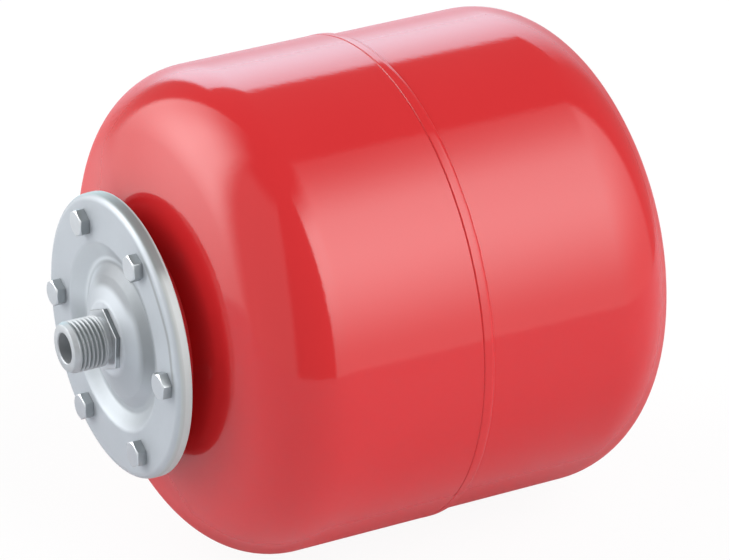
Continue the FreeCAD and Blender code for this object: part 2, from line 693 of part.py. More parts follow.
def valve_core_pin():
    """Pin with a collar on the spring at one end and the poppet at the other."""
    poppet_back = f"({POPPET_SEAT} - poppet_thickness)"
    collar_back = f"({PIN_COLLAR} - pin_collar_thickness)"
    tip = f"({STEM_END} - pin_sunk)"
    turned(body("valve_core_pin"), [
        (poppet_back, "0"),
        (poppet_back, "poppet_radius"),
        (POPPET_SEAT, "poppet_radius"),
        (POPPET_SEAT, "pin_radius"),
        (collar_back, "pin_radius"),
        (collar_back, "pin_collar_radius"),
        (PIN_COLLAR, "pin_collar_radius"),
        (PIN_COLLAR, "pin_radius"),
        (tip, "pin_radius"),
        (tip, "0"),
    ])


def valve_poppet_seal():
    """Rubber washer on the poppet, closing the end of the barrel."""
    turned(body("valve_poppet_seal"), [
        (POPPET_SEAT, "pin_radius + rubber_gap"),
        (POPPET_SEAT, "poppet_radius"),
        (POPPET_FACE, "poppet_radius"),
        (POPPET_FACE, "pin_radius + rubber_gap"),
    ])


def valve_core_spring():
    """Coil spring between the barrel's floor and the pin's collar."""
    piece = body("valve_core_spring")
    start = f"({SPRING_FLOOR} + wire_radius + rubber_gap)"
    room = f"({PIN_COLLAR} - pin_collar_thickness - wire_radius - rubber_gap - {start})"
    sketch = new_sketch(piece, "Wire")
    centre = FreeCAD.Vector(size(start), size("spring_radius"), 0)
    sketch.addGeometry(Part.Circle(centre, FreeCAD.Vector(0, 0, 1), size("wire_radius")))
    fix_point(sketch, 0, 3, start, "spring_radius")
    index = sketch.addConstraint(Sketcher.Constraint("Radius", 0, size("wire_radius")))
    sketch.renameConstraint(index, "WireRadius")
    sketch.setExpression("Constraints.WireRadius", on_sheet("wire_radius"))
    coil = piece.newObject("PartDesign::AdditiveHelix", "Coil")
    coil.Profile = sketch
    coil.ReferenceAxis = (sketch, ["H_Axis"])
    coil.Mode = 2
    coil.Turns = size("spring_turns")
    coil.Height = size(room)
    bind(coil, Height=room, Turns="spring_turns")
    doc.recompute()


def dust_cap():
    """Plastic cap screwed on the valve's stem."""
    cap = "dust_cap_radius"
    piece = body("dust_cap")
    foot = f"({FLANGE_FACE} + rubber_gap)"
    shell = turned(piece, [
        (foot, "stem_radius + cap_thread_gap"),
        (foot, cap),
        (DUST_CAP_TOP, cap),
        (DUST_CAP_TOP, "0"),
        (DUST_CAP_CEILING, "0"),
        (DUST_CAP_CEILING, "stem_radius + cap_thread_gap"),
    ])
    rounded(piece, shell, "rim_edge_round", (DUST_CAP_TOP, cap))


def dust_cap_seal():
    """Rubber disc in the dust cap, resting on the stem's end."""
    turned(body("dust_cap_seal"), [
        (STEM_END, "0"),
        (STEM_END, "stem_radius"),
        (DUST_CAP_CEILING, "stem_radius"),
        (DUST_CAP_CEILING, "0"),
    ])


def protective_cap():
    """Plastic cap pushed over the valve boss."""
    inside = "(boss_radius + cover_cap_gap)"
    outside = f"({inside} + cover_cap_wall)"
    foot = f"({REAR_APEX} + cover_cap_foot)"
    ceiling = f"({DUST_CAP_TOP} + cap_room)"
    top = f"({ceiling} + cover_cap_wall)"
    piece = body("protective_cap")
    shell = turned(piece, [
        (foot, inside),
        (foot, outside),
        (top, outside),
        (top, "0"),
        (ceiling, "0"),
        (ceiling, inside),
    ])
    rounded(piece, shell, "cover_cap_round", (top, outside))


for build in (
    front_shell, rear_shell, seam_weld, neck_ring, neck_weld, flange_cover, connection_nipple, nipple_weld,
    flange_bolts, bladder, valve_bushing, bushing_weld, valve_body, valve_o_ring, valve_core_barrel,
    valve_core_gasket, valve_core_pin, valve_poppet_seal, valve_core_spring, dust_cap, dust_cap_seal,
    protective_cap,
):
    build()
doc.recompute()

for item in doc.Objects:
    if "Invalid" in item.State or "Error" in item.State:
        raise ValueError(f"{item.Label} failed: {item.State}")
for node in nodes:
    shape = node.Shape
    if shape.isNull() or not shape.isValid() or not shape.Solids:
        raise ValueError(f"{node.Label} has no valid solid")

os.makedirs("parts", exist_ok=True)
for node in nodes:
    node.Shape.exportStep(f"parts/{node.Label}.step")
    box = node.Shape.optimalBoundingBox()
    print(f"{node.Label}: {len(node.Shape.Solids)} solid, {node.Shape.Volume:.2f} mm3, "
          f"x {box.XMin:.2f} to {box.XMax:.2f}, r {box.YMax:.2f}")
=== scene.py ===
import math

import bmesh
import bpy
from mathutils import Matrix, Vector


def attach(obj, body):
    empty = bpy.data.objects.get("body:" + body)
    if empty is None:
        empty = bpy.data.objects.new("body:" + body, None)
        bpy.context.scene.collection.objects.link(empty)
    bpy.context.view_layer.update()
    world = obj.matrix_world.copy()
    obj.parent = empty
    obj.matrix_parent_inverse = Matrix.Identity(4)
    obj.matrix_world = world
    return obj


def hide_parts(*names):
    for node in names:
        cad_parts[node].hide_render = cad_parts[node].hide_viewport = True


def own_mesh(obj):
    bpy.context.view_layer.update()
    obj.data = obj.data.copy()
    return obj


# Flanged expansion tank lying on its side, glossy red with a zinc-plated water connection.
# X runs along the tank's axis and Z is up. Outlines below are (along, out) in millimetres.

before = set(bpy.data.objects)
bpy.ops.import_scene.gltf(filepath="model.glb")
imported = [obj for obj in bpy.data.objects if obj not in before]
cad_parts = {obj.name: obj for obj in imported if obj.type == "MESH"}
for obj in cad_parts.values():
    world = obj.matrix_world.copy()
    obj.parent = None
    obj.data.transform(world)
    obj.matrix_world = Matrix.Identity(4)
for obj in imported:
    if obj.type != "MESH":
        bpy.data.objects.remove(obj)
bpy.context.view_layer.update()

TANK = "tank"

# A millimetre in metres, millimetres in a metre and degrees in a radian
MM = 0.001
PER_METRE = 1000.0
DEGREES = 57.29578

# Places along the axis and radii, in millimetres
THREAD_TIP = -16.4
THREAD_RADIUS = 10.4775
THREAD_PITCH = 1.814
THREAD_LEAD = 2.0
RELIEF_RADIUS = THREAD_RADIUS - 0.9
BORE_RADIUS = 6.2
COLLAR_FLATS = 24.0
COLLAR_TURN = 5.0
COVER_SEAT = 2.0
RING_FACE = 4.6
NECK_RADIUS = 43.5
FRONT_APEX = 14.2
SEAM = 117.0
REAR_APEX = 235.0
TANK_RADIUS = 100.0
REAR_RADIUS = 98.75
SHEET = 1.2
LAP = 8.0
BOLT_CIRCLE = 47.0
BOLT_TURNS = (-4.0, 0.0, -8.0, 12.0, 0.0, -3.0)
FLOOR_HEIGHT = -100.24


# Meshes

def on_circle(radius, degrees):
    """Point on a circle round the axis, from +Y towards +Z."""
    angle = math.radians(degrees)
    return radius * math.cos(angle), radius * math.sin(angle)


def new_piece(name, points, faces, normals=None):
    """Mesh object from points in millimetres, with its own shading directions if they are given."""
    mesh = bpy.data.meshes.new(name)
    mesh.from_pydata([Vector(point) * MM for point in points], [], faces)
    mesh.polygons.foreach_set("use_smooth", [True] * len(mesh.polygons))
    if normals:
        mesh.normals_split_custom_set_from_vertices(normals)
    piece = bpy.data.objects.new(name, mesh)
    bpy.context.scene.collection.objects.link(piece)
    return piece


def row_faces(row, rows, count):
    """Faces from one row of points round a piece to the next one."""
    low, high = row * count, (row + 1) % rows * count
    pairs = [(side, (side + 1) % count) for side in range(count)]
    return [(low + side, low + beside, high + beside, high + side) for side, beside in pairs]


def place(piece, finish, node):
    """Give a piece its finish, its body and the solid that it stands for."""
    piece.data.materials.append(finish)
    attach(piece, TANK)
    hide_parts(node)


def arc(centre, radius, first, last, step, side=1):
    """Places on an arc, in degrees from +X outwards, each with the way its skin faces."""
    count = max(2, math.ceil(abs(last - first) / step))
    places = []
    for index in range(count + 1):
        angle = math.radians(first + (last - first) * index / count)
        along, out = math.cos(angle), math.sin(angle)
        at = centre[0] + radius * along, centre[1] + radius * out
        places.append((*at, side * along, side * out))
    return places


def straight(start, stop, length=0.0):
    """Places on a straight line, each with the way its skin faces, which is to its left."""
    run = Vector(stop) - Vector(start)
    facing = Vector((-run.y, run.x)).normalized()
    count = max(1, math.ceil(run.length / length)) if length else 1
    places = []
    for index in range(count + 1):
        at = Vector(start) + run * index / count
        places.append((at.x, at.y, facing.x, facing.y))
    return places


def softened(corners):
    """Places on an open outline of (along, out, rounding) corners, with its outside on the left."""
    arc_step = 12.0
    places = straight(corners[0][:2], corners[1][:2])[:1]
    for index in range(1, len(corners) - 1):
        here = Vector(corners[index][:2])
        before = (Vector(corners[index - 1][:2]) - here).normalized()
        after = (Vector(corners[index + 1][:2]) - here).normalized()
        radius = corners[index][2]
        bend = before.angle(after)
        reach = radius / math.tan(bend / 2)
        middle = here + (before + after).normalized() * radius / math.sin(bend / 2)
        start, stop = here + before * reach, here + after * reach
        first = math.degrees(math.atan2(start.y - middle.y, start.x - middle.x))
        last = math.degrees(math.atan2(stop.y - middle.y, stop.x - middle.x))
        last += 360.0 * round((first - last) / 360.0)
        left = Vector((before.y, -before.x))
        side = 1 if (start - middle).dot(left) > 0 else -1
        places += arc(middle, radius, first, last, arc_step, side)
    return places + straight(corners[-2][:2], corners[-1][:2])[1:]


def turned(name, places, sides, closed=True, shape=None):
    """Piece of revolution through the places, bent by shape(along, out, turn) if it is given."""
    points, normals, faces = [], [], []
    for along, out, faces_along, faces_out in places:
        for side in range(sides):
            turn = 2 * math.pi * side / sides
            x, r = shape(along, out, turn) if shape else (along, out)
            points.append((x, r * math.cos(turn), r * math.sin(turn)))
            normals.append((faces_along, faces_out * math.cos(turn), faces_out * math.sin(turn)))
    rows = len(places)
    for row in range(rows if closed else rows - 1):
        start, stop = places[row], places[(row + 1) % rows]
        if math.dist(start[:2], stop[:2]) >= 1e-6:
            faces += row_faces(row, rows, sides)
    return new_piece(name, points, faces, None if shape else normals)


def waves(turn, *parts):
    """Uneven line round the tank: the sum of (times round, size, start) waves."""
    return sum(size * math.sin(times * turn + start) for times, size, start in parts)


def head_places(apex, crown, knuckle, radius, hole, inset=0.0):
    """Skin of a drawn head that bulges towards -X, from its hole to the start of its barrel."""
    crown_step, knuckle_step = 0.8, 3.0
    span, across = crown - knuckle, radius - knuckle
    lean = math.degrees(math.asin(across / span))
    start = 180.0 - math.degrees(math.asin(hole / (crown - inset)))
    depth = math.sqrt(span ** 2 - across ** 2)
    side = -1 if inset else 1
    places = arc((apex + crown, 0.0), crown - inset, start, 180.0 - lean, crown_step, side)
    bend = (apex + crown - depth, across)
    return places + arc(bend, knuckle - inset, 180.0 - lean, 90.0, knuckle_step, side)[1:]


def cup(name, form, barrel_end, edge_round, flip=False):
    """Drawn cup with a real sheet thickness and a softened open edge, flipped for the rear."""
    sides, edge_step = 192, 30.0
    radius = form[3]
    head, inner_head = head_places(*form), head_places(*form, SHEET)
    edge_centre = (barrel_end - edge_round, radius - edge_round)
    outer_edge = arc(edge_centre, edge_round, 90.0, 0.0, edge_step)
    inner_edge = [(barrel_end, radius - SHEET, 1.0, 0.0), (barrel_end, radius - SHEET, 0.0, -1.0)]
    hole = [(*inner_head[0][:2], 0.0, -1.0), (*head[0][:2], 0.0, -1.0)]
    places = head + outer_edge + inner_edge + inner_head[::-1] + hole
    if flip:
        places = [(-along, out, -ahead, outwards) for along, out, ahead, outwards in places[::-1]]
    return turned(name, places, sides)


def front_cup():
    """Front shell: the drawn cup whose edge laps over the other one."""
    crown, knuckle, mouth = 235.0, 33.0, NECK_RADIUS + 0.05
    form = (FRONT_APEX, crown, knuckle, TANK_RADIUS, mouth)
    return cup("front_cup", form, SEAM, edge_round=0.35)


def rear_cup():
    """Rear shell: the drawn cup that slides into the front one."""
    crown, knuckle, valve_hole = 152.0, 36.0, 9.05
    form = (-REAR_APEX, crown, knuckle, REAR_RADIUS, valve_hole)
    return cup("rear_cup", form, LAP - SEAM, edge_round=0.3, flip=True)


def lap_bead():
    """Weld bead along the lap, a little uneven in width and height, with a crease at its start."""
    sides, rows = 384, 27
    width, narrowed, lift, fullness = 5.4, 0.22, 0.06, 8
    crease, crease_share = 0.42, 0.11
    foot = REAR_RADIUS - 0.03

    def laid(along, out, turn):
        share = (along - SEAM) / width
        wide = width - narrowed + waves(turn, (7, 0.10, 0.4), (17, 0.07, 2.1), (41, 0.05, 1.0))
        high = lift + waves(turn, (5, 0.02, 1.3), (23, 0.02, 0.2), (67, 0.01, 2.4))
        level = foot + (TANK_RADIUS + high - foot) * (1.0 - share ** fullness)
        return SEAM + wide * share, level - crease * max(0.0, 1.0 - share / crease_share) ** 2

    places = [(SEAM + width * row / rows, 0.0, 0.0, 1.0) for row in range(rows + 1)]
    return turned("lap_bead", places, sides, closed=False, shape=laid)


def thread_depth(along, turn):
    """How deep the pipe thread is cut at a place, from its crest line."""
    depth, shift, root, flank = 1.16, 0.16, 0.16, 0.68
    start_length, thread_end, end_length = 1.2, -2.2, 0.9
    phase = (along / THREAD_PITCH + shift - turn / (2 * math.pi)) % 1.0
    off_root = abs(2 * phase - 1.0)
    filled = min(max((off_root - root) / flank, 0.0), 1.0)
    start = min(max((along - THREAD_TIP - THREAD_LEAD) / start_length, 0.0), 1.0)
    run_out = min(max((thread_end - along) / end_length, 0.0), 1.0)
    return depth * (1.0 - filled) * min(start, run_out)


def threaded_spigot():
    """Nipple: spigot with a helical pipe thread, relief, bore and the tail behind its collar."""
    sides, per_turn = 120, 12
    relief_start, relief_full = -2.0, -1.7
    tip_edge, tip_radius, bore_edge = 0.12, THREAD_RADIUS - 1.02, 0.35
    tail_start, tail_end, tail_radius = COVER_SEAT - 0.4, 7.2, 9.0
    lead_end, lead_drop = THREAD_TIP + THREAD_LEAD, 0.9

    turns_along = int((relief_start - THREAD_TIP) / THREAD_PITCH) + 2
    offsets = [step / per_turn for step in range(-per_turn, turns_along * per_turn)]
    points, faces = [], []
    for offset in offsets:
        for side in range(sides):
            turn = 2 * math.pi * side / sides
            along = THREAD_TIP + THREAD_PITCH * (offset + side / sides)
            along = min(max(along, THREAD_TIP + tip_edge), relief_start)
            lead = THREAD_RADIUS - lead_drop * max(0.0, (lead_end - along) / THREAD_LEAD)
            radius = min(lead, THREAD_RADIUS - thread_depth(along, turn))
            points.append((along, radius * math.cos(turn), radius * math.sin(turn)))
    tail = [
        (THREAD_TIP, tip_radius),
        (THREAD_TIP, BORE_RADIUS + bore_edge),
        (THREAD_TIP + bore_edge, BORE_RADIUS),
        (tail_end, BORE_RADIUS),
        (tail_end, tail_radius),
        (tail_start, tail_radius),
        (0.0, RELIEF_RADIUS),
        (relief_full, RELIEF_RADIUS),
    ]
    rings = [[index * sides + side for side in range(sides)] for index in range(len(offsets))]

    def a_turn_on(index):
        return rings[min(index + per_turn, len(rings) - 1)][0]

    extra = []
    for along, radius in tail:
        ring = []
        for side in range(sides):
            turn = 2 * math.pi * side / sides
            ring.append(len(points))
            points.append((along, radius * math.cos(turn), radius * math.sin(turn)))
        extra.append(ring)
    order = rings + extra[::-1]
    for index, ring in enumerate(order):
        ahead = order[(index + 1) % len(order)]
        for side in range(sides):
            beside = (side + 1) % sides
            if index < len(rings) - 1 and beside == 0:
                faces.append((ring[side], a_turn_on(index), a_turn_on(index + 1), ahead[side]))
            else:
                faces.append((ring[side], ring[beside], ahead[beside], ahead[side]))
    return new_piece("threaded_spigot", points, faces)


def tidy_mesh(piece, sharp_degrees):
    """Join doubled points, face every side outwards and mark the hard edges."""
    work = bmesh.new()
    work.from_mesh(piece.data)
    bmesh.ops.remove_doubles(work, verts=work.verts, dist=1e-6)
    bmesh.ops.dissolve_degenerate(work, edges=work.edges, dist=1e-7)
    bmesh.ops.recalc_face_normals(work, faces=work.faces)
    work.to_mesh(piece.data)
    work.free()
    piece.data.polygons.foreach_set("use_smooth", [True] * len(piece.data.polygons))
    piece.data.set_sharp_from_angle(angle=math.radians(sharp_degrees))


def hexagon_ring(flats, corner_round, turn):
    """Points round a hexagon with softened corners, from +Y towards +Z."""
    steps, flat_shares = 4, (0.25, 0.5, 0.75)
    apothem = flats / 2
    ring = []
    for corner in range(6):
        middle = turn + 60.0 * corner
        reach = (apothem - corner_round) / math.cos(math.radians(30.0))
        centre = Vector(on_circle(reach, middle))
        for step in range(steps + 1):
            angle = middle - 30.0 + 60.0 * step / steps
            ring.append(centre + Vector(on_circle(corner_round, angle)))
        before = ring[-1]
        ahead = Vector(on_circle(reach, middle + 60.0))
        after = ahead + Vector(on_circle(corner_round, middle + 30.0))
        ring += [before.lerp(after, share) for share in flat_shares]
    return ring


def collar():
    """Hexagon collar with lightly broken edges, as a closed band of loops round the axis."""
    edge, back_edge, corner_round, hole = 0.22, 0.1, 0.5, 9.2
    turn = 30.0 + COLLAR_TURN
    flanks = hexagon_ring(COLLAR_FLATS, corner_round, turn)
    face = hexagon_ring(COLLAR_FLATS - 2 * edge, corner_round, turn)
    angles = [math.degrees(math.atan2(point.y, point.x)) for point in flanks]
    inner = [Vector(on_circle(hole, angle)) for angle in angles]
    loops = [
        (0.0, inner),
        (0.0, face),
        (edge, flanks),
        (COVER_SEAT - back_edge, flanks),
        (COVER_SEAT, face),
        (COVER_SEAT, inner),
    ]
    points, faces = [], []
    for row, (along, ring) in enumerate(loops):
        points += [(along, point.x, point.y) for point in ring]
        faces += row_faces(row, len(loops), len(ring))
    return new_piece("hexagon_collar", points, faces)


def bolt(index):
    """Hexagon bolt with a chamfered head, at its place round the cover."""
    flats, head, corner_round, shank, length, tip = 10.0, 4.0, 0.3, 3.0, 10.0, 0.5
    face_edge, face_inset, foot_edge, foot_share = 0.25, 0.86, 0.12, 0.985
    chamfer = math.tan(math.radians(30.0))
    face = flats / 2 - face_edge
    ring = hexagon_ring(flats, corner_round, 30.0 + BOLT_TURNS[index])
    middle = Vector(on_circle(BOLT_CIRCLE, 60.0 * index))
    centre = Vector((0.0, 0.0))
    top, end = RING_FACE - head, RING_FACE + length
    loops = [
        [(top, centre) for point in ring],
        [(top, point.normalized() * face * face_inset) for point in ring],
        [(top, point.normalized() * face) for point in ring],
        [(top + (point.length - face) * chamfer, point) for point in ring],
        [(RING_FACE - foot_edge, point) for point in ring],
        [(RING_FACE, point * foot_share) for point in ring],
        [(RING_FACE, point.normalized() * shank) for point in ring],
        [(end - tip, point.normalized() * shank) for point in ring],
        [(end, point.normalized() * (shank - tip)) for point in ring],
        [(end, centre) for point in ring],
    ]
    points, faces = [], []
    for loop in loops:
        points += [(along, point.x + middle.x, point.y + middle.y) for along, point in loop]
    for row in range(len(loops) - 1):
        faces += row_faces(row, len(loops), len(ring))
    return points, faces


def cover_bolts():
    """All six bolts, each a separate form in one piece."""
    points, faces = [], []
    for index in range(len(BOLT_TURNS)):
        more_points, more_faces = bolt(index)
        start = len(points)
        points += more_points
        faces += [tuple(start + corner for corner in face) for face in more_faces]
    return new_piece("cover_bolts", points, faces)


def ribbed_cap(name, foot, top, inside, outside, ceiling, ribs, depth, edge):
    """Moulded cap with fine grip ribs round its side."""
    plain_foot, plain_top, rows, sides_per_rib = 0.9, 0.3, 12, 8
    foot_edge, lip_edge, fillet = 0.3, 0.15, 0.4
    skin = outside - 0.01

    def grip(along, out, turn):
        on_side = out > skin and foot + plain_foot < along < top - edge - plain_top
        return along, out - (depth * (0.5 + 0.5 * math.cos(ribs * turn)) if on_side else 0.0)

    places = []
    for here in softened([
        (top, 0.0, 0.0),
        (top, outside, edge),
        (foot, outside, foot_edge),
        (foot, inside, lip_edge),
        (ceiling, inside, fillet),
        (ceiling, 0.0, 0.0),
    ]):
        if places and here[1] > skin and places[-1][1] > skin:
            start = places[-1][0]
            for row in range(1, rows):
                places.append((start + (here[0] - start) * (row / rows), outside, 0.0, 1.0))
        places.append(here)
    return turned(name, places, ribs * sides_per_rib, closed=False, shape=grip)


def rubber_bag():
    """Bladder: clamped lip, neck through the ring and a moulded bag with shallow folds."""
    sides, row_length, front_step, rear_step = 168, 6.0, 6.0, 5.0
    lip, lip_inside, lip_front, lip_edge, neck_fillet = 42.9, 39.5, 7.1, 0.3, 0.4
    neck, neck_start, neck_end, wall = 38.3, 9.0, 22.0, 1.6
    front, rear, side, front_round, rear_round, rear_flat = 31.1, 206.1, 86.0, 26.0, 60.0, 12.0
    folds, fold_depth, fold_start, fold_run = 14, 2.2, 10.0, 60.0
    swells, swell_lean, swell_share, deepest = 5, 30.0, 0.2, 1.4
    ring_length = 12.9
    lip_back = neck_end - ring_length
    front_bend, rear_bend = front + front_round, rear - rear_round

    def skin(depth, way):
        """Places from the front round to the middle of the back, at a depth in the wall."""
        front_centre, rear_centre = (front_bend, side - front_round), (rear_bend, side - rear_round)
        rounds = arc(front_centre, front_round - depth, 180.0, 90.0, front_step, way)
        along_side = straight((front_bend, side - depth), (rear_bend, side - depth), row_length)
        barrel = [(*here[:2], 0.0, way) for here in along_side[1:-1]]
        back = arc(rear_centre, rear_round - depth, 90.0, 0.0, rear_step, way)
        middle = [(rear - depth, out, way, 0.0) for out in (rear_flat, 0.0)]
        return rounds + barrel + back + middle

    def folded(along, out, turn):
        """Shallow folds that grow along the bag, and a slower swell across them."""
        grown = min(max((along - front - fold_start) / fold_run, 0.0), 1.0)
        share = grown * min(out / fold_run, 1.0)
        fold = (0.5 + 0.5 * math.cos(folds * turn)) ** 2
        fold += swell_share * (1.0 + math.sin(swells * turn + along / swell_lean))
        return along, out - fold_depth * share * fold / deepest

    places = [(along, out, 0.0, 1.0) for along, out in (
        (lip_front, lip_inside),
        (lip_front, lip - lip_edge),
        (lip_front + lip_edge, lip),
        (lip_back - lip_edge, lip),
        (lip_back, lip - lip_edge),
        (lip_back, neck + neck_fillet),
        (lip_back + neck_fillet, neck),
        (neck_end, neck),
    )]
    places += skin(0.0, 1) + skin(wall, -1)[::-1]
    places += [(along, neck - wall, 0.0, -1.0) for along in (neck_end + wall, neck_start)]
    return turned("rubber_bag", places, sides, shape=folded)


def coil_spring():
    """Coil spring between the valve core's floor and the pin's collar."""
    start, stop, radius, wire, turns = 237.26, 241.64, 1.05, 0.14, 5
    steps, round_wire = 36, 10
    ahead = Vector((1.0, 0.0, 0.0))
    points, faces = [], []
    total = turns * steps
    for step in range(total + 1):
        turn = 2 * math.pi * step / steps
        along = start + (stop - start) * step / total
        centre = Vector((along, radius * math.cos(turn), radius * math.sin(turn)))
        outwards = Vector((0.0, math.cos(turn), math.sin(turn)))
        for side in range(round_wire):
            angle = 2 * math.pi * side / round_wire
            points.append(centre + wire * (outwards * math.cos(angle) + ahead * math.sin(angle)))
    for step in range(total):
        faces += row_faces(step, total + 1, round_wire)
    faces.append(tuple(range(round_wire)))
    faces.append(tuple(total * round_wire + side for side in range(round_wire))[::-1])
    return new_piece("coil_spring", points, faces)


# Shader maths

class Wire:
    """Output of a node. Arithmetic on it adds Math nodes."""

    def __init__(self, shades, socket):
        self.shades = shades
        self.socket = socket

    def math(self, operation, *values):
        return self.shades.add("ShaderNodeMath", {"operation": operation}, dict(enumerate(values)))

    def __add__(self, other):
        return self.math("ADD", self, other)

    def __radd__(self, other):
        return self.math("ADD", other, self)

    def __sub__(self, other):
        return self.math("SUBTRACT", self, other)

    def __rsub__(self, other):
        return self.math("SUBTRACT", other, self)

    def __mul__(self, other):
        return self.math("MULTIPLY", self, other)

    def __rmul__(self, other):
        return self.math("MULTIPLY", other, self)

    def __neg__(self):
        return self.math("MULTIPLY", self, -1.0)


class Shades:
    """Node tree of a material or of the world."""

    def __init__(self, tree):
        self.tree = tree
        self.tree.nodes.clear()

    def add(self, kind, settings, values, output=0):
        """Add a node: its settings first, then the values or links of its sockets."""
        made = self.tree.nodes.new(kind)
        for name, setting in settings.items():
            setattr(made, name, setting)
        for name, value in values.items():
            if isinstance(value, Wire):
                self.tree.links.new(value.socket, made.inputs[name])
            else:
                made.inputs[name].default_value = value
        return Wire(self, made.outputs[output]) if made.outputs else None

    def place_on_piece(self):
        """Place on the piece, in metres in the tank's own frame."""
        return self.add("ShaderNodeTexCoord", {}, {}, "Object")

    def stretched(self, vector, scale):
        """Place scaled differently along each axis."""
        return self.add("ShaderNodeVectorMath", {"operation": "MULTIPLY"}, {0: vector, 1: scale})

    def parts(self, vector):
        """The three numbers of a vector."""
        return [self.add("ShaderNodeSeparateXYZ", {}, {0: vector}, axis) for axis in range(3)]

    def noise(self, vector, scale, detail=3.0, roughness=0.5):
        """Cloudy pattern between 0 and 1."""
        return self.add("ShaderNodeTexNoise", {}, {
            "Vector": vector, "Scale": scale, "Detail": detail, "Roughness": roughness,
        })

    def tool_rings(self, along, scale):
        """Uneven rings round the axis between 0 and 1, as a turning tool leaves them."""
        return self.add("ShaderNodeTexNoise", {"noise_dimensions": "1D"}, {
            "W": along, "Scale": scale, "Detail": 2.0,
        })

    def off_axis(self, across, up):
        """Distance from the tank's axis."""
        return self.add("ShaderNodeMath", {"operation": "SQRT"}, {0: across * across + up * up})

    def ramp(self, value, low, high, smooth=True):
        """0 below low and 1 above high."""
        kind = "SMOOTHSTEP" if smooth else "LINEAR"
        return self.add("ShaderNodeMapRange", {"interpolation_type": kind}, {
            "Value": value, "From Min": low, "From Max": high,
        })

    def blend(self, share, first, second):
        """Colour between two colours."""
        return self.add("ShaderNodeMix", {"data_type": "RGBA"}, {0: share, 6: first, 7: second}, 2)

    def band(self, value, low, full, fading, gone):
        """1 between full and fading, and 0 below low and above gone."""
        return self.ramp(value, low, full) * (1.0 - self.ramp(value, fading, gone))

    def bump(self, height, distance):
        """Normal from a height between 0 and 1, over a distance in metres."""
        return self.add("ShaderNodeBump", {}, {
            "Height": height, "Distance": distance, "Strength": 1.0,
        })

    def light_ray(self, question):
        """1 where the light path node answers yes, and 0 elsewhere."""
        return self.add("ShaderNodeLightPath", {}, {}, question)


def new_finish(name):
    """Empty material and its shades."""
    finish = bpy.data.materials.new(name)
    finish.use_nodes = True
    return finish, Shades(finish.node_tree)


def close_finish(shades, values):
    """Principled shader with the given values, wired to the material's output."""
    shader = shades.add("ShaderNodeBsdfPrincipled", {}, values, "BSDF")
    shades.add("ShaderNodeOutputMaterial", {}, {"Surface": shader})


def colour(red, green, blue):
    """Opaque colour."""
    return (red, green, blue, 1.0)


def gloss_red():
    """Glossy red stove enamel with a faint orange peel, softer where it is seen edge on."""
    finish, shades = new_finish("gloss_red_enamel")
    at = shades.place_on_piece()
    cloud = shades.noise(at, scale=14.0)
    peel = shades.noise(at, scale=420.0, detail=2.0, roughness=0.4)
    sway = shades.noise(at, scale=38.0, detail=1.0, roughness=0.3)
    speck = shades.noise(at, scale=2600.0, detail=2.0)
    red = shades.blend(cloud, colour(0.515, 0.0165, 0.0190), colour(0.550, 0.0200, 0.0230))
    facing = shades.add("ShaderNodeLayerWeight", {}, {"Blend": 0.5}, "Facing")
    close_finish(shades, {
        "Base Color": red,
        "Roughness": 0.08 + 0.02 * speck + 0.38 * shades.ramp(facing, 0.56, 0.86),
        "IOR": 1.5,
        "Normal": shades.bump(peel * 0.35 + sway * 0.65, 0.00006),
    })
    return finish


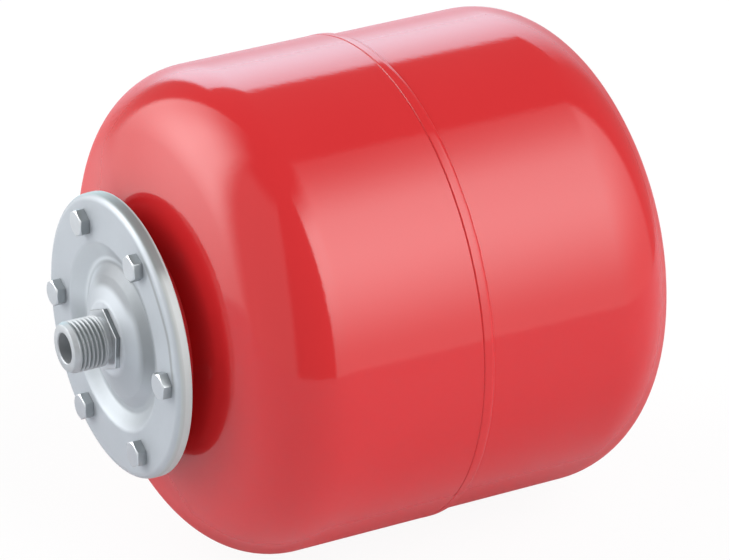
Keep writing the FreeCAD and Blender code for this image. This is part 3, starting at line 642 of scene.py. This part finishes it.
def pressed_zinc():
    """Zinc-plated pressed sheet: satin, faintly cloudy, with fine rolling grain.

    Over the cover, painted shade darkens the pressed hollow, its near wall, the upper side of the
    raised centre, a patch beside it, a band inside the rim's bend, the front of the rim's wall and
    a band on its top. Painted light lifts the flat round the collar and the hollow's far wall, and
    the rim's outer wall has a warmer painted tone that tones down its bluish reflection. Each is
    placed by its distance from the axis, and some by along, across and up, all in millimetres.
    """
    finish, shades = new_finish("satin_pressed_zinc")
    at = shades.place_on_piece()
    cloud = shades.noise(at, scale=55.0, detail=4.0)
    spangle = shades.noise(at, scale=420.0, detail=3.0, roughness=0.6)
    grain = shades.noise(shades.stretched(at, (1.0, 1.0, 14.0)), scale=900.0, detail=2.0)
    along, across, up = [part * PER_METRE for part in shades.parts(at)]
    out = shades.off_axis(across, up)
    wander = out + 7.0 * (shades.noise(at, scale=30.0, detail=1.0) - 0.5)
    ramp, band = shades.ramp, shades.band
    # Painted light: a lighter tone on the flat round the collar
    land_painted_light = 1.0 - ramp(out, 13.5, 16.5)
    # Painted shade: a darker tone all round the pressed hollow
    trough_painted_shade = band(out, 28.0, 31.0, 35.0, 39.0)
    # Painted light: a lighter tone on the hollow's far, upper wall, hiding its shade
    far_wall_painted_light = band(out, 29.5, 31.5, 37.5, 39.5) * ramp(across, -2.0, 14.0) * ramp(up, -6.0, 6.0)
    # Painted shade: a dark tone on the hollow's near wall
    near_wall_painted_shade = band(out, 33.0, 35.0, 38.5, 40.5) * ramp(-across, 16.0, 26.0) * ramp(up, -10.0, 6.0)
    # Painted shade: a dark tone on the upper side of the raised centre's slope, damping its
    # highlight
    crown = band(out, 19.5, 22.5, 29.5, 31.0) * ramp(up, 13.0, 21.0)
    crown = crown * (1.0 - ramp(across, 8.0, 26.0))
    # Painted dark reflection: a dark patch on the near side of the raised centre's slope
    inner = band(out, 21.5, 25.5, 29.0, 31.0) * ramp(-across, 0.0, 14.0) * ramp(up, -16.0, 2.0)
    # Painted shade: an uneven dark band on the near, upper side just inside the rim's bend
    bend = band(wander, 52.0, 53.0, 53.8, 55.0) * ramp(-across, 20.0, 34.0) * ramp(up, -4.0, 8.0)
    # Painted reflection: a warmer, lighter tone on the rim's outer wall, toning down its bluish
    # reflection
    side = ramp(out, 57.3, 57.9)
    # Painted dark reflection: a darker tone on the front of the rim's wall, next to its rounded
    # shoulder
    fold = side * (1.0 - ramp(along, 7.3, 7.9))
    # Painted shade: a dark grey band on the top of the rim's wall, towards the near side
    rim_painted_shade = side * (1.0 - ramp(along, 9.4, 10.2)) * ramp(up, 40.0, 46.0) * ramp(-across, -24.0, 6.0)
    base = shades.blend(cloud, colour(0.395, 0.425, 0.458), colour(0.455, 0.490, 0.525))
    # Painted shade and painted light, laid over the base one tone at a time
    for share, tone in (
        (land_painted_light, colour(0.60, 0.635, 0.675)),
        (trough_painted_shade, colour(0.37, 0.40, 0.425)),
        (far_wall_painted_light, colour(0.56, 0.60, 0.63)),
        (near_wall_painted_shade, colour(0.27, 0.29, 0.31)),
        (crown, colour(0.22, 0.235, 0.25)),
        (inner, colour(0.235, 0.255, 0.27)),
        (bend, colour(0.30, 0.32, 0.33)),
        (side, colour(0.48, 0.525, 0.525)),
        (fold, colour(0.42, 0.45, 0.45)),
        (rim_painted_shade, colour(0.225, 0.24, 0.24)),
    ):
        base = shades.blend(share, base, tone)
    close_finish(shades, {
        "Base Color": base,
        "Metallic": 0.42,
        "Roughness": 0.38 + 0.10 * spangle + 0.06 * grain + 0.16 * side,
        "Normal": shades.bump(spangle * 0.6 + grain * 0.4, 0.00003),
    })
    return finish


def turned_zinc():
    """Zinc plating over turned steel, with the tool's fine rings and painted shade down between the
    thread's crests.
    """
    finish, shades = new_finish("turned_zinc")
    at = shades.place_on_piece()
    along, across, up = shades.parts(at)
    rings = shades.tool_rings(along, scale=6000.0)
    cloud = shades.noise(at, scale=260.0, detail=4.0)
    out = shades.off_axis(across, up) * PER_METRE
    threaded = shades.band(along, -0.0143, -0.0136, -0.0026, -0.0021)
    # Painted shade: a darker tone down between the thread's crests
    groove_painted_shade = shades.band(out, 8.9, 9.2, 9.6, 10.2) * threaded
    light = shades.blend(cloud, colour(0.39, 0.41, 0.425), colour(0.50, 0.52, 0.54))
    close_finish(shades, {
        "Base Color": shades.blend(groove_painted_shade, light, colour(0.32, 0.345, 0.355)),
        "Metallic": 0.6,
        "Roughness": 0.42 + 0.10 * rings + 0.08 * cloud,
        "Normal": shades.bump(rings * 0.7 + cloud * 0.3, 0.00002),
    })
    return finish


def bolt_zinc():
    """Bright zinc plating on the bolts and the collar, a little mottled, with painted shade on the
    bolt heads' flanks and the collar's upper flanks.
    """
    finish, shades = new_finish("bright_bolt_zinc")
    at = shades.place_on_piece()
    mottle = shades.noise(at, scale=700.0, detail=3.0, roughness=0.6)
    cloud = shades.noise(at, scale=120.0)
    along, across, up = [part * PER_METRE for part in shades.parts(at)]
    on_collar = 1.0 - shades.ramp(shades.off_axis(across, up), 15.0, 20.0)
    # Painted shade: a darker tone on the bolt heads' flanks
    flank = shades.ramp(along, 0.95, 1.15) * (1.0 - on_collar)
    # Painted shade: a dark tone on the collar's upper flanks
    collar_painted_shade = shades.ramp(along, 0.15, 0.3) * on_collar * shades.ramp(up, -5.0, -2.0)
    light = shades.blend(cloud, colour(0.55, 0.57, 0.585), colour(0.64, 0.665, 0.685))
    light = shades.blend(flank, light, colour(0.40, 0.42, 0.43))
    close_finish(shades, {
        "Base Color": shades.blend(collar_painted_shade, light, colour(0.23, 0.245, 0.25)),
        "Metallic": 0.88,
        "Roughness": 0.24 + 0.16 * mottle,
        "Normal": shades.bump(mottle, 0.00004),
    })
    return finish


def rubber(name, shade):
    """Matt moulded rubber, dusty in places."""
    finish, shades = new_finish(name)
    at = shades.place_on_piece()
    grain = shades.noise(at, scale=1500.0, detail=3.0)
    dust = shades.noise(at, scale=90.0)
    clean, dusty = colour(shade, shade, shade), colour(shade * 1.5, shade * 1.5, shade * 1.45)
    close_finish(shades, {
        "Base Color": shades.blend(dust, clean, dusty),
        "Roughness": 0.62 + 0.16 * grain,
        "Normal": shades.bump(grain, 0.00004),
    })
    return finish


def valve_brass():
    """Turned brass."""
    finish, shades = new_finish("turned_brass")
    at = shades.place_on_piece()
    rings = shades.tool_rings(shades.parts(at)[0], scale=9000.0)
    tone = shades.noise(at, scale=300.0)
    close_finish(shades, {
        "Base Color": shades.blend(tone, colour(0.60, 0.42, 0.17), colour(0.70, 0.51, 0.22)),
        "Metallic": 1.0,
        "Roughness": 0.22 + 0.14 * rings,
        "Normal": shades.bump(rings, 0.00001),
    })
    return finish


def spring_wire():
    """Drawn spring steel."""
    finish, shades = new_finish("drawn_spring_steel")
    at = shades.place_on_piece()
    tone = shades.noise(at, scale=1800.0)
    close_finish(shades, {
        "Base Color": shades.blend(tone, colour(0.30, 0.31, 0.32), colour(0.42, 0.42, 0.43)),
        "Metallic": 1.0,
        "Roughness": 0.26 + 0.1 * tone,
    })
    return finish


def moulded_plastic():
    """Black moulded plastic with a fine spark-eroded grain."""
    finish, shades = new_finish("black_moulded_plastic")
    at = shades.place_on_piece()
    grain = shades.noise(at, scale=2200.0, detail=3.0, roughness=0.6)
    flow = shades.noise(at, scale=80.0)
    close_finish(shades, {
        "Base Color": shades.blend(flow, colour(0.012, 0.012, 0.013), colour(0.02, 0.02, 0.021)),
        "Roughness": 0.34 + 0.16 * grain,
        "Normal": shades.bump(grain, 0.00003),
    })
    return finish


# Pieces and their finishes

RED = gloss_red()
ZINC = pressed_zinc()
TURNED = turned_zinc()
BOLTS = bolt_zinc()
SEALS = rubber("seal_rubber_finish", 0.018)
BAG = rubber("bladder_rubber_finish", 0.022)
BRASS = valve_brass()
STEEL = spring_wire()
PLASTIC = moulded_plastic()

CAD_FINISHES = {
    "neck_ring": RED,
    "neck_weld": RED,
    "valve_bushing": RED,
    "bushing_weld": RED,
    "flange_cover": ZINC,
    "nipple_weld": ZINC,
    "valve_body": BRASS,
    "valve_core_barrel": BRASS,
    "valve_core_pin": BRASS,
    "valve_o_ring": SEALS,
    "valve_core_gasket": SEALS,
    "valve_poppet_seal": SEALS,
    "dust_cap_seal": SEALS,
}
for node_name, finish in CAD_FINISHES.items():
    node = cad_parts[node_name]
    for index in range(len(node.material_slots)):
        node.material_slots[index].material = finish

place(front_cup(), RED, "front_shell")
place(rear_cup(), RED, "rear_shell")
place(lap_bead(), RED, "seam_weld")

bag = rubber_bag()
tidy_mesh(bag, sharp_degrees=50.0)
place(bag, BAG, "bladder")

# The spigot stands for the nipple's solid, and the collar comes beside it.
spigot = threaded_spigot()
tidy_mesh(spigot, sharp_degrees=35.0)
place(spigot, TURNED, "connection_nipple")
hexagon = collar()
tidy_mesh(hexagon, sharp_degrees=30.0)
hexagon.data.materials.append(BOLTS)
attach(hexagon, TANK)

bolts = cover_bolts()
tidy_mesh(bolts, sharp_degrees=25.0)
place(bolts, BOLTS, "flange_bolts")

cap = ribbed_cap(
    "protective_cap_ribbed", foot=235.6, top=248.4, inside=9.1, outside=10.5, ceiling=247.0,
    ribs=36, depth=0.28, edge=2.0)
tidy_mesh(cap, sharp_degrees=40.0)
place(cap, PLASTIC, "protective_cap")
small_cap = ribbed_cap(
    "dust_cap_ribbed", foot=240.62, top=246.4, inside=3.95, outside=5.3, ceiling=245.2,
    ribs=24, depth=0.2, edge=0.4)
tidy_mesh(small_cap, sharp_degrees=40.0)
place(small_cap, PLASTIC, "dust_cap")

spring = coil_spring()
tidy_mesh(spring, sharp_degrees=60.0)
place(spring, STEEL, "valve_core_spring")
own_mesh(spring)


# Studio: pale floor, soft panels round the tank, camera

def studio_floor():
    """White floor that keeps the tank's shadow. Mirrored in the tank, only its far side glows."""
    middle, size, sides = 116.0, 650.0, 96
    glow, seen_glow, far_glow = 0.33, 0.60, 0.6
    points = []
    for side in range(sides):
        turn = 2 * math.pi * side / sides
        points.append((middle + size * math.cos(turn), size * math.sin(turn), FLOOR_HEIGHT))
    floor = new_piece("floor", points, [tuple(range(sides))])
    finish, shades = new_finish("white_floor")
    seen, mirrored = shades.light_ray("Is Camera Ray"), shades.light_ray("Is Glossy Ray")
    pale = shades.blend(mirrored, colour(0.86, 0.86, 0.86), colour(0.62, 0.66, 0.71))
    plain = shades.add("ShaderNodeBsdfDiffuse", {}, {"Color": pale})
    white = shades.add("ShaderNodeEmission", {}, {"Color": colour(1.0, 1.0, 1.0), "Strength": 1.0})
    far = shades.ramp(shades.parts(shades.place_on_piece())[1], 0.12, 0.35)
    share = glow + seen_glow * seen - glow * mirrored + far_glow * mirrored * far
    mixed = shades.add("ShaderNodeMixShader", {}, {0: share, 1: plain, 2: white})
    shades.add("ShaderNodeOutputMaterial", {}, {"Surface": mixed})
    floor.data.materials.append(finish)


def studio_light():
    """Soft panels to the left, the right and the back of the tank, with dark gaps between them.

    A panel's edges are turns from -Y towards +X and lifts above the horizon, both in degrees.
    Gloss shows the back panel brighter and bluer than the light that it gives.
    """
    room_light, left_light, right_light, wall_light = 0.31, 5.6, 5.3, 0.65
    back_light, back_gloss = 1.7, (0.1, 1.9, 2.5)
    panel_light, panel_gloss = 0.84, 0.16
    world = bpy.data.worlds.new("studio")
    world.use_nodes = True
    bpy.context.scene.world = world
    shades = Shades(world.node_tree)
    across, towards, up = shades.parts(shades.add("ShaderNodeTexCoord", {}, {}, "Generated"))
    turn = across.math("ARCTAN2", across, -towards) * DEGREES
    lift = up.math("ARCSINE", up) * DEGREES
    ramp, band = shades.ramp, shades.band
    left = ramp(turn, -168.0, -164.0) * (0.45 + 0.55 * ramp(turn, -165.0, -132.0))
    left = left * (1.0 - ramp(turn, -122.0, -97.0))
    left = left * (0.30 + 0.70 * ramp(lift, -15.0, 22.0)) * (1.0 - ramp(lift, 33.0, 78.0))
    right = ramp(turn, 3.0, 6.5) * (1.0 - 0.65 * ramp(turn, 25.0, 85.0, smooth=False))
    right = right * (1.0 - ramp(turn, 84.0, 92.0))
    right = right * (0.24 + 0.76 * ramp(lift, -8.0, 38.0)) * (1.0 - ramp(lift, 48.0, 74.0))
    behind = band(turn, 118.0, 158.0, 172.5, 176.5)
    behind = behind * (0.52 + 0.48 * ramp(lift, -10.0, 30.0)) * (1.0 - ramp(lift, 34.2, 37.7))
    wall = band(turn, -110.0, -95.0, -50.0, -42.0) * (1.0 - ramp(lift, 55.0, 70.0))
    seen, mirrored = shades.light_ray("Is Camera Ray"), shades.light_ray("Is Glossy Ray")
    panels = left_light * left + right_light * right + wall_light * wall
    white = room_light + panels * (panel_light + panel_gloss * mirrored)
    glow = [white + behind * (back_light + gloss * mirrored) for gloss in back_gloss]
    colours = [part * (1.0 - seen) + seen for part in glow]
    light = shades.add("ShaderNodeCombineXYZ", {}, dict(enumerate(colours)))
    backdrop = shades.add("ShaderNodeBackground", {}, {"Color": light, "Strength": 1.0})
    shades.add("ShaderNodeOutputWorld", {}, {"Surface": backdrop})


def studio_camera():
    """Camera on the connection's side, looking down on the tank."""
    turn, lift, distance = math.radians(-28.637), math.radians(25.953), 2.2222
    target, to_right, down = Vector((0.1143, 0.0, 0.0)), 0.00362, 0.00042
    level = math.cos(lift)
    back = Vector((math.sin(turn) * level, -math.cos(turn) * level, math.sin(lift)))
    right = Vector((math.cos(turn), math.sin(turn), 0.0))
    up = back.cross(right)
    aim = target + right * to_right - up * down
    lens = bpy.data.cameras.new("camera")
    lens.sensor_width = 36.0
    lens.lens = 271.2
    lens.clip_start = 0.05
    lens.clip_end = 50.0
    camera = bpy.data.objects.new("camera", lens)
    turned_so = Matrix((right, up, back)).transposed().to_4x4()
    camera.matrix_world = Matrix.Translation(aim + back * distance) @ turned_so
    bpy.context.scene.collection.objects.link(camera)
    bpy.context.scene.camera = camera


studio_floor()
studio_light()
studio_camera()
bpy.context.scene.view_settings.view_transform = "Standard"
